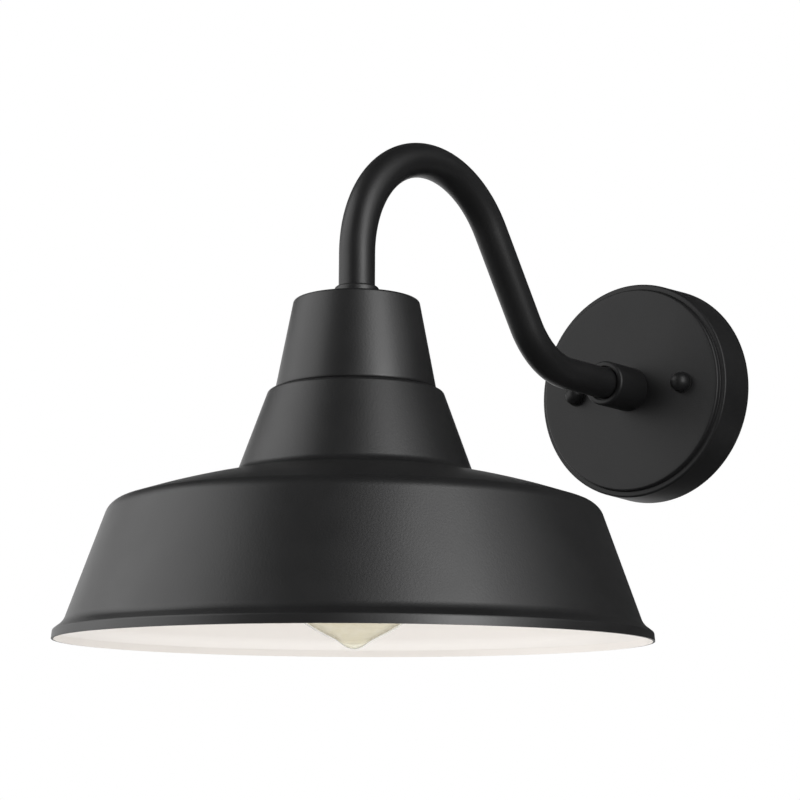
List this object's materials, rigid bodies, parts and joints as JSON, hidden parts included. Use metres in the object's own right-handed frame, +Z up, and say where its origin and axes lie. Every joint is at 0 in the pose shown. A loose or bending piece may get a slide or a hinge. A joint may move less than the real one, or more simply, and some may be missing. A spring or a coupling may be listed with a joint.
{
  "type": "outdoor wall lantern",
  "caption": "Barn-style outdoor wall lantern: stepped metal shade with a flared lip, conical socket cap and vintage bulb, on a gooseneck tube arm from a round wall canopy.",
  "frame": {"origin": "centre of the canopy's wall face", "axes": "+Z up, +Y into the wall, so the lamp stands out towards -Y; +X to the right for someone facing the wall"},
  "size_m": [0.3244, 0.4722, 0.2999],
  "materials": {
    "black_paint": "satin powder coat",
    "black_rubber": "matte",
    "zinc_steel": "zinc plated",
    "green_screw": "green plated",
    "porcelain": "white glaze",
    "brass": "satin",
    "bulb_cap": "satin",
    "amber_glass": "clear, pale amber",
    "stem_glass": "clear",
    "insulator_glass": "black glass",
    "filament_wire": "dull wire",
    "black_insulation": "matte",
    "white_insulation": "matte",
    "connector_plastic": "matte"
  },
  "bodies": {
    "fixture": {"shade": "black_paint", "socket_cap": "black_paint", "shade_screws": "zinc_steel", "cap_collar": "black_paint", "arm_tube": "black_paint", "cap_locknut": "zinc_steel", "arm_plug": "zinc_steel", "socket_nipple": "zinc_steel", "socket_strap": "zinc_steel", "strap_locknut": "zinc_steel", "strap_screws": "zinc_steel", "socket_body": "porcelain", "socket_shell": "brass", "socket_contact": "brass", "terminal_screw_hot": "brass", "terminal_screw_neutral": "zinc_steel", "lead_hot": "black_insulation", "lead_neutral": "white_insulation", "wire_connector_hot": "connector_plastic", "wire_connector_neutral": "connector_plastic", "canopy": "black_paint", "wall_sleeve": "black_paint", "hub_locknut": "zinc_steel", "mount_plate": "zinc_steel", "ground_screw": "green_screw", "wall_gasket": "black_rubber", "stud_left": "zinc_steel", "stud_right": "zinc_steel"},
    "bulb_travel": {"bulb_contact": "zinc_steel"},
    "bulb": {"bulb_glass": "amber_glass", "bulb_base": "bulb_cap", "bulb_insulator": "insulator_glass", "bulb_stem": "stem_glass", "bulb_filament": "filament_wire", "filament_supports": "filament_wire", "filament_leads": "filament_wire"},
    "nut_travel_left": {"washer_left": "black_rubber"},
    "nut_left": {"cap_nut_left": "black_paint"},
    "nut_travel_right": {"washer_right": "black_rubber"},
    "nut_right": {"cap_nut_right": "black_paint"}
  },
  "joints": [
    {"name": "bulb_travel", "type": "slide", "parent": "fixture", "child": "bulb_travel", "axis": [0, 0, -1], "range_m": [0, 0.0182]},
    {"name": "bulb_turn", "type": "hinge", "parent": "bulb_travel", "child": "bulb", "pos_m": [0, -0.31, -0.1], "axis": [0, 0, -1], "range_deg": [0, 1800]},
    {"name": "nut_left_travel", "type": "slide", "parent": "fixture", "child": "nut_travel_left", "axis": [0, -1, 0], "range_m": [0, 0.0064]},
    {"name": "nut_left_turn", "type": "hinge", "parent": "nut_travel_left", "child": "nut_left", "pos_m": [-0.0413, -0.03, 0], "axis": [0, -1, 0], "range_deg": [0, 2880]},
    {"name": "nut_right_travel", "type": "slide", "parent": "fixture", "child": "nut_travel_right", "axis": [0, -1, 0], "range_m": [0, 0.0064]},
    {"name": "nut_right_turn", "type": "hinge", "parent": "nut_travel_right", "child": "nut_right", "pos_m": [0.0413, -0.03, 0], "axis": [0, -1, 0], "range_deg": [0, 2880]}
  ],
  "couplings": [
    {"joint": "bulb_travel", "follows": "bulb_turn", "m_per_rad": 0.00057751},
    {"joint": "nut_left_travel", "follows": "nut_left_turn", "m_per_rad": 0.00012633},
    {"joint": "nut_right_travel", "follows": "nut_right_turn", "m_per_rad": 0.00012633}
  ]
}
